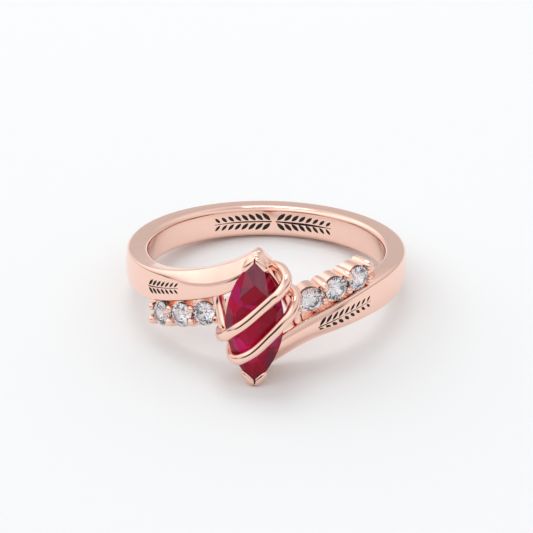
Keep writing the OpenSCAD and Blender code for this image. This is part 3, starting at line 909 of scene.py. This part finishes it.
# Rose-gold plating, polished on a wheel to a mirror. It gives clear reflections with a warm pink
# tint, slightly uneven from place to place. The real scratches of polishing are a few thousandths
# of a millimetre wide, too fine to show: they are drawn coarser and only soften the shine.
haze_size = 0.5
scratch_size = 0.06
scratch_depth = 0.002
sharp_from = math.radians(32)
rose_gold, tree, shader = new_material("polished_rose_gold")
place = add_node(tree, "ShaderNodeTexCoord")
haze = add_node(tree, "ShaderNodeTexNoise", {"Scale": 1 / (haze_size * MM), "Detail": 3},
                {"Vector": place.outputs["Object"]})
gloss = add_node(tree, "ShaderNodeMapRange", {"To Min": 0.07, "To Max": 0.13},
                 {"Value": haze.outputs["Fac"]})
tint = add_node(tree, "ShaderNodeMix", {"A": linear("#fbd0bf"), "B": linear("#fed8c9")},
                {"Factor": haze.outputs["Fac"]}, data_type="RGBA")
scratches = add_node(tree, "ShaderNodeTexNoise", {"Scale": 1 / (scratch_size * MM)},
                     {"Vector": place.outputs["Object"]})
bump = add_node(tree, "ShaderNodeBump", {"Strength": 0.02, "Distance": scratch_depth * MM},
                {"Height": scratches.outputs["Fac"]})
tree.links.new(tint.outputs["Result"], shader.inputs["Base Color"])
tree.links.new(gloss.outputs["Result"], shader.inputs["Roughness"])
tree.links.new(bump.outputs["Normal"], shader.inputs["Normal"])
shader.inputs["Metallic"].default_value = 1

casting.data.materials.clear()
casting.data.materials.append(rose_gold)
for cutter in grooves:
    cutter.data.materials.append(black)
combine(casting, grooves, "DIFFERENCE")
finish_piece(casting, rose_gold, "rose_gold", "mounting", smooth=sharp_from)

# Side stones. Six round brilliants of cubic zirconia, each ground to an octagonal table, kite
# and star facets on the crown, and a steep pavilion, and held between the claws and the beads.
# The slopes of the star, upper and lower girdle facets, as shares of the main facets' slope
star_flat, upper_steep, lower_steep = 0.62, 1.18, 1.06

# Zirconia, cut and polished: clear and bright. Faint violet glints of its fire are painted into its
# colour. The painted glints go by the way a facet faces, so their scale is cells to a unit sphere
# of normals, and the painted sparks are cells of a real size.
glint_cells = 4.3
spark_size = 0.22
zirconia, tree, shader = new_material("cut_cubic_zirconia")
place = add_node(tree, "ShaderNodeTexCoord")
cells = add_node(tree, "ShaderNodeTexVoronoi", {"Scale": 1 / (spark_size * MM)},
                 {"Vector": place.outputs["Object"]})
cell = add_node(tree, "ShaderNodeSeparateColor", {}, {"Color": cells.outputs["Color"]})
glints = add_node(tree, "ShaderNodeTexVoronoi", {"Scale": glint_cells},
                  {"Vector": place.outputs["Normal"]})
glint = add_node(tree, "ShaderNodeSeparateColor", {}, {"Color": glints.outputs["Color"]})
painted_glints_by_facet = add_node(tree, "ShaderNodeValToRGB", {}, {"Fac": glint.outputs["Red"]},
                    [(0, "#ffffff"), (0.4, "#e2e3fa"), (0.6, "#ffffff"), (0.8, "#cfcce6"),
                     (0.9, "#faeafa")])
painted_sparks_by_place = add_node(tree, "ShaderNodeValToRGB", {}, {"Fac": cell.outputs["Red"]},
                    [(0, "#ffffff"), (0.4, "#eeeffc"), (0.7, "#fdfaff"), (0.85, "#d4d0ea")])
for tones in (painted_glints_by_facet, painted_sparks_by_place):
    tones.color_ramp.interpolation = "CONSTANT"
painted_sparks = add_node(tree, "ShaderNodeMix", {"Factor": 0.35},
                  {"A": painted_glints_by_facet.outputs["Color"], "B": painted_sparks_by_place.outputs["Color"]},
                  data_type="RGBA")
# base colour: clear white with the painted glints and painted sparks of its fire
tree.links.new(painted_sparks.outputs["Result"], shader.inputs["Base Color"])
shader.inputs["Roughness"].default_value = 0
shader.inputs["IOR"].default_value = 2.15
shader.inputs["Transmission Weight"].default_value = 0.97


def brilliant():
    top = side_girdle * side_d / 2
    crown = side_crown * side_d
    depth = side_pavilion * side_d
    reach = side_d / 2
    slope = math.atan(crown / (reach * (1 - side_table)))
    under = math.atan(depth / reach)
    planes = [facet(math.pi * k / 16, math.pi / 2, reach, 0) for k in range(32)]
    for k in range(8):
        turn = math.pi * k / 4
        planes.append(facet(turn, slope, reach, top))
        planes.append(facet(turn + math.pi / 8, slope * star_flat, reach * side_table, top + crown))
        planes.append(facet(turn, math.pi - under, reach, -top))
        for lean in (-1, 1):
            planes.append(facet(turn + lean * math.pi / 16, slope * upper_steep, reach, top * 0.8))
            planes.append(facet(turn + math.pi / 8 + lean * math.pi / 16,
                                math.pi - under * lower_steep, reach, -top))
    return cut_stone(planes, side_d, -depth - 2 * top, top + crown)


for i, place in enumerate(side_places):
    for hand, turn in (("right", Matrix.Identity(4)), ("left", turned_over)):
        node = f"side_stone_{hand}_{i + 1}"
        finish_piece(solid(node + "_cut", brilliant(), turn @ place), zirconia, "clear_stone", node)
